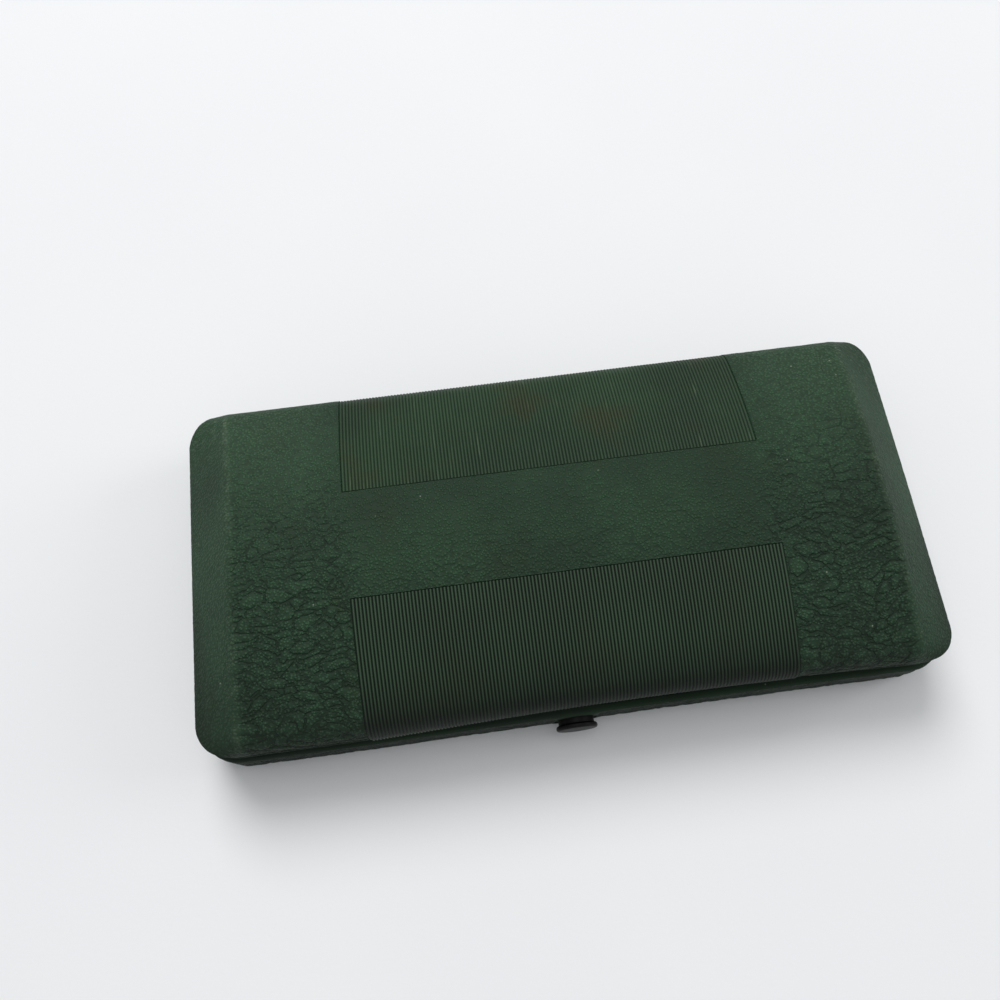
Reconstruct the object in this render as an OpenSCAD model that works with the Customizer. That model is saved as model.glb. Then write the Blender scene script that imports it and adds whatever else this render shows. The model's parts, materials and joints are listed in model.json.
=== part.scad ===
// Hinged box for sewing machine attachments: a moulded base and an arched lid with
// ribbed panels, a divided tray, two strap hinges and a push-button catch.
// Millimetres, +Z up, +X along the length, -Y to the button side.
// The origin is at the middle of the underside, on the surface that the box stands on.

/* [Lid] */
// Length of the lid at its widest
lid_length = 178; // [160:1:210]
// Width of the lid at its widest
lid_width = 85.4; // [80:0.2:100]
// Height of the lid from its lip to the top of its crown
lid_height = 20.3; // [18:0.1:25]
// Radius of the crown across the width
crown_r = 100; // [85:1:160]
// Radius of the roll between crown and skirt
shoulder_r = 7.5; // [5:0.5:9]
// Corner radius of the lid in plan
corner_r = 9; // [7:0.5:13]
// Width of the bevel at each end
bevel_w = 12.6; // [9:0.2:16]
// How far the ridge of the bevel runs outwards near the corners
ridge_bow = 2; // [0:0.2:3]
// Rounding between the end bevel and the skirt
end_roll = 2; // [1:0.5:3]
// How far the lip lies inside the widest outline
lip_in = 0.8; // [0.3:0.1:1.4]
// Height of the bead along the lip
bead_h = 1.1; // [0.8:0.1:1.6]
// Wall of the lid
lid_wall = 2.2; // [1.8:0.1:2.8]

/* [Ribbed panels] */
// Length of each panel
panel_length = 99.2; // [70:0.2:130]
// Width of the plain field between the two panels
field_w = 26; // [18:0.5:36]
// Spacing of the ribs
rib_pitch = 0.8; // [0.7:0.05:1.6]
// Height of the ribs
rib_h = 0.35; // [0.2:0.05:0.5]
// How far the crests of the ribs lie below the grain of the lid
rib_drop = 0.1; // [0.05:0.05:0.3]

/* [Base] */
// Height of the base up to its rim
base_height = 13.2; // [12.6:0.1:18]
// How far the base stands out beyond the lid
base_over = 0.7; // [0.3:0.1:1.4]
// Wall of the base
base_wall = 2.4; // [2:0.1:3]
// Floor of the base
floor_t = 2.4; // [1.8:0.1:2.6]
// Rounding of the bottom edge
foot_r = 3; // [1:0.5:5]
// Rounding of the rim's outer edge
rim_r = 1; // [0.4:0.1:1.6]
// Gap between the rim and the lip of the closed lid
parting_gap = 0.3; // [0.2:0.05:0.5]

/* [Tray] */
// Gap between the tray and the inner face of the lid
tray_gap = 1; // [0.8:0.1:1.6]
// Wall of the tray
tray_wall = 1.2; // [0.8:0.1:1.6]
// Floor of the tray
tray_floor = 1; // [0.8:0.1:1.4]
// How far the tray stands up above the rim
tray_rise = 2.2; // [1:0.1:3]
// Thickness of the loose dividers
divider_t = 1; // [0.8:0.1:1.2]
// Place of the long divider across the width
long_divider_y = 6.5; // [4:0.5:12]
// Places of the cross dividers along the length: rear, front left, front right
cross_x = [18, -32, 30]; // [-40:1:40]
// Thickness of the felt pads
felt_t = 0.8; // [0.5:0.1:1.2]
// Diameter of a bobbin
bobbin_d = 20.6; // [19:0.1:21]
// Diameter of the posts that the bobbins stand on
post_d = 5.6; // [5:0.1:5.9]
// Height of the posts
post_h = 8; // [6:0.5:8.5]

/* [Hinges] */
// Distance of each hinge from the end of the lid
hinge_inset = 30; // [22:1:48]
// Length of each hinge
hinge_length = 24; // [18:1:30]
// Thickness of the sheet that the leaves are pressed from
leaf_t = 0.5; // [0.4:0.05:0.6]
// Radius of the pins
pin_r = 0.65; // [0.5:0.05:0.8]
// Radius of the knuckles
knuckle_r = 1.25; // [1.1:0.05:1.35]
// How far the hinge line lies outside the base
hinge_out = 0.3; // [0.2:0.05:0.6]
// Radius of the rivets
rivet_r = 0.8; // [0.6:0.05:0.9]

/* [Catch] */
// Place of the button along the length
button_x = -1.3; // [-10:0.1:10]
// Height of the button's centre
button_z = 7; // [6.8:0.1:7.4]
// Radius of the button's head
head_r = 5; // [4.6:0.1:5.2]
// Thickness of the button's head
head_t = 1.3; // [1.2:0.1:2]
// Radius of the button's neck
neck_r = 4.3; // [3.6:0.1:4.4]
// Depth of the round recess that the head sinks into
recess_t = 0.6; // [0.4:0.1:1]
// How far the button is pushed in
travel = 1.4; // [1.2:0.1:1.5]
// Radius of the steel stem
stem_r = 1.6; // [1.3:0.1:1.8]
// Width of the spring strip
strip_w = 9; // [7:0.5:11]
// Thickness of the spring strip
strip_t = 0.5; // [0.4:0.05:0.6]
// Thickness of the lid's keeper
keeper_t = 0.6; // [0.5:0.05:0.8]

/* [Hidden] */

$fn = 48;
speck = 0.01;
cut = 1;
fit = 0.03;
play = 0.3;

green = [0.12, 0.2, 0.15];
ivory = [0.55, 0.52, 0.42];
felt_green = [0.2, 0.33, 0.24];
steel = [0.62, 0.62, 0.6];
spring_blue = [0.3, 0.33, 0.4];
button_black = [0.05, 0.05, 0.045];

half_l = lid_length / 2;
half_w = lid_width / 2;
lip_z = base_height + parting_gap;
crown_z = lip_z + lid_height;
crown_centre_z = crown_z - crown_r;
inner_half_l = half_l - lip_in - lid_wall;
inner_half_w = half_w - lip_in - lid_wall;
inner_crown_r = crown_r - lid_wall;
inner_shoulder_r = max(shoulder_r - lid_wall, 3);
inner_corner_r = corner_r - lip_in - lid_wall;

base_half_l = half_l + base_over;
base_half_w = half_w + base_over;
base_corner_r = corner_r + base_over;
cavity_half_l = base_half_l - base_wall;
cavity_half_w = base_half_w - base_wall;

// Height and slope angle at which the roll of the shoulder starts
function roll_angle(rc, half, rs) = asin((half - rs) / (rc - rs));
function roll_z(rc, half, rs) = crown_centre_z + sqrt(pow(rc - rs, 2) - pow(half - rs, 2));

skirt_z = roll_z(crown_r, half_w, shoulder_r);
inner_skirt_z = roll_z(inner_crown_r, inner_half_w, inner_shoulder_r);
bevel_angle = atan2(crown_z - skirt_z, bevel_w);
inner_ridge_x = half_l - bevel_w - lid_wall * tan(bevel_angle / 2);
inner_bevel_w = inner_half_l - inner_ridge_x;

// Points of the arched profile, from the front skirt over the crown to the back skirt
function arch(rc, half, rs, arc_steps = 22, roll_steps = 7) =
    let (
        turn = roll_angle(rc, half, rs),
        rz = roll_z(rc, half, rs),
        front = [for (i = [0 : roll_steps - 1])
            let (a = -90 + i * (90 - turn) / roll_steps)
            [-(half - rs) + rs * sin(a), rz + rs * cos(a)]],
        top = [for (i = [0 : arc_steps])
            let (a = -turn + i * 2 * turn / arc_steps)
            [rc * sin(a), crown_centre_z + rc * cos(a)]],
        back = [for (i = [1 : roll_steps])
            let (a = turn + i * (90 - turn) / roll_steps)
            [half - rs + rs * sin(a), rz + rs * cos(a)]]
    )
    concat(front, top, back);

// Rounded rectangle with true arcs
module plate(half_x, half_y, r) {
    square([2 * half_x - 2 * r, 2 * half_y], center = true);
    square([2 * half_x, 2 * half_y - 2 * r], center = true);
    for (sx = [-1, 1], sy = [-1, 1])
        translate([sx * (half_x - r), sy * (half_y - r)])
            circle(r);
}

// A profile drawn in the Y-Z plane, made into a bar centred on x
module bar(x, length) {
    translate([x - length / 2, 0, 0])
        rotate([90, 0, 90])
            linear_extrude(length)
                children();
}

// Round bar along Y from y0 to y1
module rod_y(x, z, r, y0, y1) {
    translate([x, y1, z])
        rotate([90, 0, 0])
            cylinder(h = y1 - y0, r = r);
}

// Round bar along X, centred on x
module rod_x(x, y, z, r, length) {
    translate([x - length / 2, y, z])
        rotate([0, 90, 0])
            cylinder(h = length, r = r);
}

// Stations along one side of a ring, in order, for a ring that lies "inset" inside the outline.
// They run counter-clockwise from the front of the right end.
end_steps = 12;
corner_steps = 6;
side_steps = 3;
least_ring_r = 4;

function ring_quarter(sx, sy, half_x, half_y, r, inset, flat_x) =
    let (
        rr = max(r - inset, least_ring_r),
        hx = half_x - inset,
        hy = half_y - inset,
        turn = sx * sy > 0,
        corner = [for (i = [0 : corner_steps])
            let (a = 90 * i / corner_steps)
            [hx - rr + rr * cos(a), hy - rr + rr * sin(a)]],
        side = [for (i = [1 : side_steps])
            [hx - rr + (flat_x - hx + rr) * i / side_steps, hy]],
        half_end = [for (i = [0 : end_steps / 2 - 1])
            [hx, (hy - rr) * 2 * i / end_steps]],
        all = concat(half_end, corner, side),
        count = len(all)
    )
    [for (i = [0 : count - 1])
        let (p = all[turn ? i : count - 1 - i])
        [sx * p[0], sy * p[1]]];

// Whole ring; the two stations on the middle line of each end are shared by two quarters
function ring(half_x, half_y, r, inset, flat_x) =
    let (
        q1 = ring_quarter(1, 1, half_x, half_y, r, inset, flat_x),
        q2 = ring_quarter(-1, 1, half_x, half_y, r, inset, flat_x),
        q3 = ring_quarter(-1, -1, half_x, half_y, r, inset, flat_x),
        q4 = ring_quarter(1, -1, half_x, half_y, r, inset, flat_x),
        last = len(q1) - 1
    )
    concat(q1, [for (i = [0 : last - 1]) q2[i]], q3, [for (i = [0 : last - 1]) q4[i]]);

// Height of the end bevel above the skirt at a distance u from the end, as a share of its
// full height: a small roll, a straight slope, and a soft ridge
function bevel_share(u, width, height, roll, soft = 0.1) =
    let (
        slope = atan2(height, width),
        u0 = roll * (1 - cos(90 - slope)),
        h0 = roll * sin(90 - slope),
        t = (u - u0) / (width - u0),
        bend = 1 - pow(1 + soft - t, 2) / (4 * soft),
        level = t > 1 + soft ? 1 : t > 1 - soft ? bend : t,
        arc = sqrt(max(roll * roll - pow(roll - u, 2), 0)) / height
    )
    u < u0 ? arc : h0 / height + (1 - h0 / height) * level;

// Height of the arch at y, crown and roll together
function arch_height(y, rc, half, rs) =
    let (
        start = rc * sin(roll_angle(rc, half, rs)),
        over = min(abs(y), half) - (half - rs)
    )
    abs(y) <= start
        ? crown_centre_z + sqrt(rc * rc - y * y)
        : roll_z(rc, half, rs) + sqrt(max(rs * rs - over * over, 0));

function pillow_height(x, y, half_x, half_y, rc, rs, bevel, roll) =
    let (
        low = roll_z(rc, half_y, rs),
        width = bevel - ridge_bow * pow(y / half_y, 2)
    )
    low + (arch_height(y, rc, half_y, rs) - low)
        * bevel_share(half_x - abs(x), width, crown_centre_z + rc - low, roll);

// Faces that close one ring: strips run from the right end to the left end, and the last
// one on each side is a fan, because its stations all lie on one line
function cap(first, n, upper) =
    let (
        half_n = n / 2,
        last = end_steps / 2 + corner_steps - 1
    )
    [for (back = [true, false])
        let (
            strip = [for (i = [0 : last - 1])
                each [[i, half_n - i, half_n - i - 1], [i, half_n - i - 1, i + 1]]],
            fan = [for (k = [last + 1 : half_n - last - 1]) [last, k + 1, k]]
        )
        for (t = concat(strip, fan))
            let (f = [for (i = t) first + (back ? i : (n - i) % n)])
            back == upper ? f : [f[0], f[2], f[1]]];

// Arched body with bevelled ends, used for the lid's outer face and, smaller, for its hollow.
// skirt lists [inset, height] of the rings below the arch, from the lowest up.
module pillow(half_x, half_y, rc, rs, r, bevel, roll, skirt) {
    turn = roll_angle(rc, half_y, rs);
    roll_insets = [for (i = [0 : 5]) rs * (1 - sin(90 - i * (90 - turn) / 5))];
    ridge_insets = [for (k = [0.5, 0.7, 0.86, 0.94, 1, 1.06, 1.14]) k * bevel];
    insets = concat(roll_insets, ridge_insets);
    flat_x = half_x - 1.2 * bevel - least_ring_r;
    rings = concat(
        [for (s = skirt)
            [for (p = ring(half_x, half_y, r, s[0], flat_x)) [p[0], p[1], s[1]]]],
        [for (d = insets)
            [for (p = ring(half_x, half_y, r, d, flat_x))
                [p[0], p[1], pillow_height(p[0], p[1], half_x, half_y, rc, rs, bevel, roll)]]]);
    n = len(rings[0]);
    top = (len(rings) - 1) * n;
    walls = [for (k = [0 : len(rings) - 2], i = [0 : n - 1])
        let (
            a = k * n + i,
            b = k * n + (i + 1) % n
        )
        each [[a, b + n, b], [a, a + n, b + n]]];
    polyhedron(
        points = [for (k = rings) each k],
        faces = concat(cap(0, n, false), walls, cap(top, n, true)));
}

// Base

// Upright section through the base: bottom edges rounded by foot_r and rim edges by rim_r
module base_section(half) {
    translate([-half + foot_r, 0])
        square([2 * (half - foot_r), base_height]);
    translate([-half + rim_r, foot_r])
        square([2 * (half - rim_r), base_height - foot_r]);
    translate([-half, foot_r])
        square([2 * half, base_height - foot_r - rim_r]);
    for (s = [-1, 1]) {
        translate([s * (half - foot_r), foot_r])
            circle(foot_r);
        translate([s * (half - rim_r), base_height - rim_r])
            circle(rim_r);
    }
}

module base_outer() {
    r = base_corner_r;
    bar(0, 2 * (base_half_l - r))
        base_section(base_half_w);
    rotate([0, 0, 90])
        bar(0, 2 * (base_half_w - r))
            base_section(base_half_l);
    for (sx = [-1, 1], sy = [-1, 1])
        translate([sx * (base_half_l - r), sy * (base_half_w - r), 0])
            rotate_extrude()
                intersection() {
                    base_section(r);
                    square([r, base_height]);
                }
}

hinge_x = half_l - hinge_inset;
hinge_y = base_half_w + hinge_out;
hinge_z = base_height + parting_gap / 2;
tab_offset = 0.25;
knuckle_gap = 0.15;
barrel_room = 0.25;
end_knuckle = hinge_length / 4;
mid_knuckle = hinge_length / 2;
hinge_room = 0.3;
base_rivet_drop = 5;
base_rivet_z = base_height - base_rivet_drop;
leaf_edge = 2.2;
leaf_clearance = 0.2;
lid_leaf_top = inner_skirt_z - leaf_clearance;
lid_rivet_z = lid_leaf_top - leaf_edge;
rivet_spacing = hinge_length * 0.6;
rivet_head_r = rivet_r + 0.7;
rivet_head_t = 0.6;
tail_r = rivet_r + 0.5;
tail_t = 0.5;

function hinge_rivet_x(side) = [for (s = [-1, 1]) side * hinge_x + s * rivet_spacing / 2];

// Room for the barrels and the leaf tabs, taken out of the rim
module base_hinge_pockets() {
    tab_low = hinge_z - tab_offset - leaf_t - fit;
    for (side = [-1, 1]) {
        rod_x(side * hinge_x, hinge_y, hinge_z, knuckle_r + barrel_room, hinge_length + 2 * hinge_room);
        translate([side * hinge_x - hinge_length / 2 - hinge_room, cavity_half_w - cut, tab_low])
            cube([hinge_length + 2 * hinge_room, hinge_y - cavity_half_w + cut, base_height]);
        for (x = hinge_rivet_x(side))
            rod_y(x, base_rivet_z, rivet_r + fit, cavity_half_w - cut, base_half_w + cut);
    }
}

strip_gap = 3.8;
strip_y = -cavity_half_w + strip_gap;
boss_r = 2.4;
boss_h = 1.6;
foot_top = floor_t + boss_h + strip_t;
screw_r = 1;
screw_x = 2.6;
screw_reach = 4.6;
screw_y = strip_y + screw_reach;
screw_depth = 2.6;

module base_shell() {
    color(green)
        difference() {
            union() {
                difference() {
                    base_outer();
                    translate([0, 0, floor_t])
                        linear_extrude(base_height)
                            plate(cavity_half_l, cavity_half_w, base_corner_r - base_wall);
                }
                for (s = [-1, 1])
                    translate([button_x + s * screw_x, screw_y, floor_t - cut])
                        cylinder(h = boss_h + cut, r = boss_r);
            }
            base_hinge_pockets();
            rod_y(button_x, button_z, neck_r + 2 * fit, -base_half_w - cut, -cavity_half_w + cut);
            rod_y(button_x, button_z, head_r + play, -base_half_w - cut, -base_half_w + recess_t);
            for (s = [-1, 1])
                translate([button_x + s * screw_x, screw_y, foot_top - strip_t - screw_depth])
                    cylinder(h = screw_depth + cut, r = screw_r + fit);
        }
}

// Tray and what stands in it

tray_half_l = inner_half_l - tray_gap;
tray_half_w = inner_half_w - tray_gap;
tray_corner_r = max(inner_corner_r - tray_gap, 2);
tray_top = base_height + tray_rise;
bay_floor = floor_t + tray_floor;
bay_half_l = tray_half_l - tray_wall;
bay_half_w = tray_half_w - tray_wall;
alcove_half = strip_w / 2 + 3.2;
alcove_y = screw_y + boss_r + 0.8;
slot_depth = 1;
slot_fit = 0.1;
divider_top = tray_top - 1.2;
felt_gap = 0.4;

module tray_plan(half_x, half_y, r, wall) {
    difference() {
        plate(half_x, half_y, r);
        translate([button_x - alcove_half - wall, -half_y - cut])
            square([2 * alcove_half + 2 * wall, alcove_y + wall + half_y + cut]);
    }
}

module compartment_tray() {
    color(ivory)
        difference() {
            translate([0, 0, floor_t])
                linear_extrude(tray_top - floor_t)
                    tray_plan(tray_half_l, tray_half_w, tray_corner_r, 0);
            difference() {
                translate([0, 0, bay_floor])
                    linear_extrude(tray_top)
                        tray_plan(bay_half_l, bay_half_w, tray_corner_r - tray_wall, tray_wall);
                rail_posts();
            }
        }
}

rail_t = 1.2;
rail_reach = 2.4;

// Moulded guides that hold the dividers upright, one pair at each end of a divider
module rail_pair(x, y, along_x) {
    step = divider_t / 2 + slot_fit;
    for (s = [-1, 1])
        translate([
            along_x ? x : x + s * (step + rail_t / 2),
            along_x ? y + s * (step + rail_t / 2) : y,
            (bay_floor + divider_top) / 2])
            cube([along_x ? 2 * rail_reach : rail_t, along_x ? rail_t : 2 * rail_reach,
                divider_top - bay_floor + speck], center = true);
}

module rail_posts() {
    for (side = [-1, 1])
        rail_pair(side * bay_half_l, long_divider_y, true);
    rail_pair(cross_x[0], bay_half_w, false);
    rail_pair(cross_x[1], -bay_half_w, false);
    rail_pair(cross_x[2], -bay_half_w, false);
}

module divider_slot(x) {
    translate([x - divider_t / 2 - slot_fit, long_divider_y - divider_t, (bay_floor + divider_top) / 2])
        cube([divider_t + 2 * slot_fit, 2 * divider_t, tray_top]);
}

module long_divider() {
    color(steel)
        difference() {
            translate([-bay_half_l + slot_fit, long_divider_y - divider_t / 2, bay_floor])
                cube([2 * (bay_half_l - slot_fit), divider_t, divider_top - bay_floor]);
            for (x = cross_x)
                divider_slot(x);
        }
}

// Cross divider from y0 to y1; a tongue at one end hangs in the slot of the long divider
module cross_divider(x, y0, y1) {
    mid = (bay_floor + divider_top) / 2;
    rear = y0 > 0;
    near = long_divider_y + (rear ? 1 : -1) * (divider_t / 2 + slot_fit);
    translate([x - divider_t / 2, rear ? near : y0, bay_floor])
        cube([divider_t, rear ? y1 - near : near - y0, divider_top - bay_floor]);
    translate([x - divider_t / 2, long_divider_y - divider_t / 2 - 0.4, mid + slot_fit])
        cube([divider_t, divider_t + 0.8, divider_top - mid - slot_fit]);
}

module rear_cross_divider() {
    color(steel)
        cross_divider(cross_x[0], long_divider_y, bay_half_w - slot_fit);
}

module front_left_divider() {
    color(steel)
        cross_divider(cross_x[1], -bay_half_w + slot_fit, long_divider_y);
}

module front_right_divider() {
    color(steel)
        cross_divider(cross_x[2], -bay_half_w + slot_fit, long_divider_y);
}

// The rectangle between dividers and walls that each compartment leaves: [x0, y0, x1, y1]
bay_edge = divider_t / 2;
bays = [
    [-bay_half_l, long_divider_y + bay_edge, cross_x[0] - bay_edge, bay_half_w],
    [cross_x[0] + bay_edge, long_divider_y + bay_edge, bay_half_l, bay_half_w],
    [-bay_half_l, -bay_half_w, cross_x[1] - bay_edge, long_divider_y - bay_edge],
    [cross_x[1] + bay_edge, alcove_y + tray_wall, cross_x[2] - bay_edge, long_divider_y - bay_edge]];
rack_bay = [cross_x[2] + bay_edge, -bay_half_w, bay_half_l, long_divider_y - bay_edge];
pad_inset = rail_reach + felt_gap;

module tray_felt_pads() {
    color(felt_green)
        for (b = bays)
            translate([b[0] + pad_inset, b[1] + pad_inset, bay_floor])
                cube([b[2] - b[0] - 2 * pad_inset, b[3] - b[1] - 2 * pad_inset, felt_t]);
}

rack_t = 1.2;
bobbin_gap = 0.6;
rack_pitch = bobbin_d + bobbin_gap;
rack_x = (rack_bay[0] + rack_bay[2]) / 2;
rack_y = (rack_bay[1] + rack_bay[3]) / 2;
rack_edge = 7;
rack_half = rack_pitch / 2 + rack_edge;

module bobbin_rack() {
    color(ivory)
        translate([rack_x, rack_y, bay_floor]) {
            linear_extrude(rack_t)
                plate(rack_half, rack_half, 3);
            for (sx = [-1, 1], sy = [-1, 1])
                translate([sx * rack_pitch / 2, sy * rack_pitch / 2, 0]) {
                    cylinder(h = rack_t + post_h, r = post_d / 2);
                    cylinder(h = rack_t + 0.8, r = post_d / 2 + 1.6);
                }
        }
}

// Hinges

module knuckle(x, length) {
    difference() {
        rod_x(x, hinge_y, hinge_z, knuckle_r, length);
        rod_x(x, hinge_y, hinge_z, pin_r + fit, length + 2);
    }
}

// Tab of a leaf from the barrel to the inside of the wall. It is full width only where
// it stays clear of the other leaf's knuckles.
module leaf_tab(x, wall_y, low, spans) {
    clear_y = hinge_y - knuckle_r - barrel_room;
    difference() {
        union() {
            translate([x - hinge_length / 2, wall_y, low])
                cube([hinge_length, clear_y - wall_y, leaf_t]);
            for (s = spans)
                translate([s[0], wall_y, low])
                    cube([s[1] - s[0], hinge_y - wall_y, leaf_t]);
        }
        rod_x(x, hinge_y, hinge_z, pin_r + fit, hinge_length + 2);
    }
}

function end_spans(x) = [
    [x - hinge_length / 2, x - mid_knuckle / 2 - knuckle_gap],
    [x + mid_knuckle / 2 + knuckle_gap, x + hinge_length / 2]];
function mid_span(x) = [[x - mid_knuckle / 2, x + mid_knuckle / 2]];

module base_leaf(x) {
    face = cavity_half_w - leaf_t;
    low = hinge_z - tab_offset - leaf_t;
    foot = base_rivet_z - leaf_edge;
    color(steel) {
        for (s = end_spans(x))
            knuckle((s[0] + s[1]) / 2, s[1] - s[0]);
        leaf_tab(x, face, low, end_spans(x));
        difference() {
            translate([x - hinge_length / 2, face, foot])
                cube([hinge_length, leaf_t, low + leaf_t - foot]);
            for (s = [-1, 1])
                rod_y(x + s * rivet_spacing / 2, base_rivet_z, rivet_r + fit, face - cut, face + leaf_t + cut);
        }
    }
}

module lid_leaf(x) {
    face = inner_half_w - leaf_t;
    low = hinge_z + tab_offset;
    color(steel) {
        for (s = mid_span(x))
            knuckle((s[0] + s[1]) / 2, s[1] - s[0]);
        leaf_tab(x, face, low, mid_span(x));
        difference() {
            translate([x - hinge_length / 2, face, low])
                cube([hinge_length, leaf_t, lid_leaf_top - low]);
            for (s = [-1, 1])
                rod_y(x + s * rivet_spacing / 2, lid_rivet_z, rivet_r + fit, face - cut, face + leaf_t + cut);
        }
    }
}

module left_hinge_base_leaf() { base_leaf(-hinge_x); }
module right_hinge_base_leaf() { base_leaf(hinge_x); }
module left_hinge_lid_leaf() { lid_leaf(-hinge_x); }
module right_hinge_lid_leaf() { lid_leaf(hinge_x); }

module hinge_pin(x) {
    color(steel)
        rod_x(x, hinge_y, hinge_z, pin_r, hinge_length + 0.4);
}

module left_hinge_pin() { hinge_pin(-hinge_x); }
module right_hinge_pin() { hinge_pin(hinge_x); }

// Rivet along Y with a domed head outside at y_head and a flat tail at y_tail
module rivet(x, z, y_tail, y_head) {
    rod_y(x, z, rivet_r, y_tail - speck, y_head + speck);
    rod_y(x, z, tail_r, y_tail - tail_t, y_tail);
    translate([x, y_head, z])
        rotate([-90, 0, 0])
            rotate_extrude()
                intersection() {
                    square([rivet_head_r, rivet_head_t]);
                    dome_r = (rivet_head_r * rivet_head_r + rivet_head_t * rivet_head_t) / (2 * rivet_head_t);
                    translate([0, rivet_head_t - dome_r])
                        circle(dome_r, $fn = 96);
                }
}

module base_hinge_rivets() {
    color(steel)
        for (side = [-1, 1], x = hinge_rivet_x(side))
            rivet(x, base_rivet_z, cavity_half_w - leaf_t, base_half_w);
}

// Lid

// Outer y of the back skirt at height z
function skirt_y(z) = half_w - lip_in * (skirt_z - z) / (skirt_z - lip_z);

module lid_hinge_rivets() {
    color(steel)
        for (side = [-1, 1], x = hinge_rivet_x(side))
            rivet(x, lid_rivet_z, inner_half_w - leaf_t, skirt_y(lid_rivet_z + rivet_head_r));
}

// Ribbed panels: the crests follow the crown, a roll that touches both crown and skirt,
// and the skirt, which leans in towards the lip
rib_count = floor(panel_length / rib_pitch);
rib_step = panel_length / rib_count;
rib_stop = 0.3;
skirt_lean = atan2(lip_in, skirt_z - lip_z - bead_h);
rib_crown_r = crown_r - rib_drop;
rib_roll_r = shoulder_r - rib_drop;

// Centre of the roll, first square to the skirt and along it from the crown's centre
roll_reach = half_w * cos(skirt_lean) - (skirt_z - crown_centre_z) * sin(skirt_lean) - rib_drop - rib_roll_r;
roll_lift = sqrt(pow(rib_crown_r - rib_roll_r, 2) - pow(roll_reach, 2));
rib_roll_y = roll_reach * cos(skirt_lean) + roll_lift * sin(skirt_lean);
rib_roll_z = crown_centre_z - roll_reach * sin(skirt_lean) + roll_lift * cos(skirt_lean);
rib_turn = atan2(rib_roll_y, rib_roll_z - crown_centre_z);
skirt_run = (rib_roll_z - rib_roll_r * sin(skirt_lean) - lip_z - bead_h - rib_stop) / cos(skirt_lean);

// What is cut away above the ribs: a saw-tooth strip whose crests lie at u
module rib_outline(u) {
    polygon(concat(
        [[u + cut, 0], [u + cut, panel_length], [u - rib_h, panel_length]],
        [for (i = [rib_count - 1 : -1 : 0])
            each [[u, (i + 0.5) * rib_step], [u - rib_h, i * rib_step]]]));
}

// The strip turned about a line along X at y, z; angles run from +Y upwards
module turned_ribs(y, z, r, start, sweep) {
    translate([-panel_length / 2, y, z])
        rotate([90, 0, 90])
            rotate([0, 0, start])
                rotate_extrude(angle = sweep, $fn = 240)
                    rib_outline(r);
}

module panel_cut() {
    field_turn = asin(field_w / 2 / crown_r);
    turned_ribs(0, crown_centre_z, rib_crown_r, 90 - rib_turn, rib_turn - field_turn);
    turned_ribs(rib_roll_y, rib_roll_z, rib_roll_r, -skirt_lean, 90 - rib_turn + skirt_lean);
    translate([-panel_length / 2, rib_roll_y, rib_roll_z])
        rotate([90, 0, 90])
            rotate([0, 0, -skirt_lean])
                rotate([90, 0, 0])
                    linear_extrude(skirt_run)
                        rib_outline(rib_roll_r);
}

module lid_shell() {
    tab_top = hinge_z + tab_offset + leaf_t + fit;
    color(green)
        difference() {
            pillow(half_l, half_w, crown_r, shoulder_r, corner_r, bevel_w, end_roll,
                [[lip_in, lip_z], [lip_in - 0.35, lip_z + 0.3], [lip_in - 0.35, lip_z + 0.7],
                    [lip_in, lip_z + bead_h]]);
            pillow(inner_half_l, inner_half_w, inner_crown_r, inner_shoulder_r, inner_corner_r,
                inner_bevel_w, end_roll, [[0, lip_z - cut]]);
            for (side = [0, 1])
                mirror([0, side, 0])
                    panel_cut();
            for (side = [-1, 1]) {
                translate([side * hinge_x - hinge_length / 2 - hinge_room, inner_half_w - cut, lip_z - cut])
                    cube([hinge_length + 2 * hinge_room, hinge_y - inner_half_w, tab_top - lip_z + cut]);
                for (x = hinge_rivet_x(side))
                    rod_y(x, lid_rivet_z, rivet_r + fit, inner_half_w - cut, half_w + cut);
            }
            for (s = [-1, 1])
                rod_y(button_x + s * keeper_pin_x, keeper_pin_z, keeper_pin_r + fit,
                    -inner_half_w - keeper_pin_depth, -inner_half_w + cut);
        }
}

lining_t = 0.5;
lining_gap = 0.06;
lining_half_l = inner_ridge_x - 2;
lining_turn = roll_angle(inner_crown_r, inner_half_w, inner_shoulder_r) - 1;

// Thin lining glued under the crown
module lid_lining() {
    outer = inner_crown_r - lining_gap;
    color(felt_green)
        translate([-lining_half_l, 0, crown_centre_z])
            rotate([90, 0, 90])
                rotate([0, 0, 90 - lining_turn])
                    rotate_extrude_band(outer, lining_t, 2 * lining_turn, 2 * lining_half_l);
}

// Part of a tube: outer radius, wall, angle and length
module rotate_extrude_band(r, t, angle, length) {
    rotate_extrude(angle = angle, $fn = 240)
        translate([r - t, 0])
            square([t, length]);
}

// Catch

hook_reach = 1.9;
hook_z = button_z + 3.2;
ledge_gap = 0.3;
keeper_w = strip_w + 1;
ledge_z = hook_z - ledge_gap - keeper_t;
ledge_tip_y = strip_y - 0.55;
keeper_pin_r = 0.75;
keeper_pin_x = 3;
keeper_edge = 2;
keeper_top = inner_skirt_z - leaf_clearance;
keeper_pin_z = keeper_top - keeper_edge;
keeper_pin_depth = 1.5;
bend_r = 0.8;
tip_gap = 0.05;
rivet_tip_r = 0.95;

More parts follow.
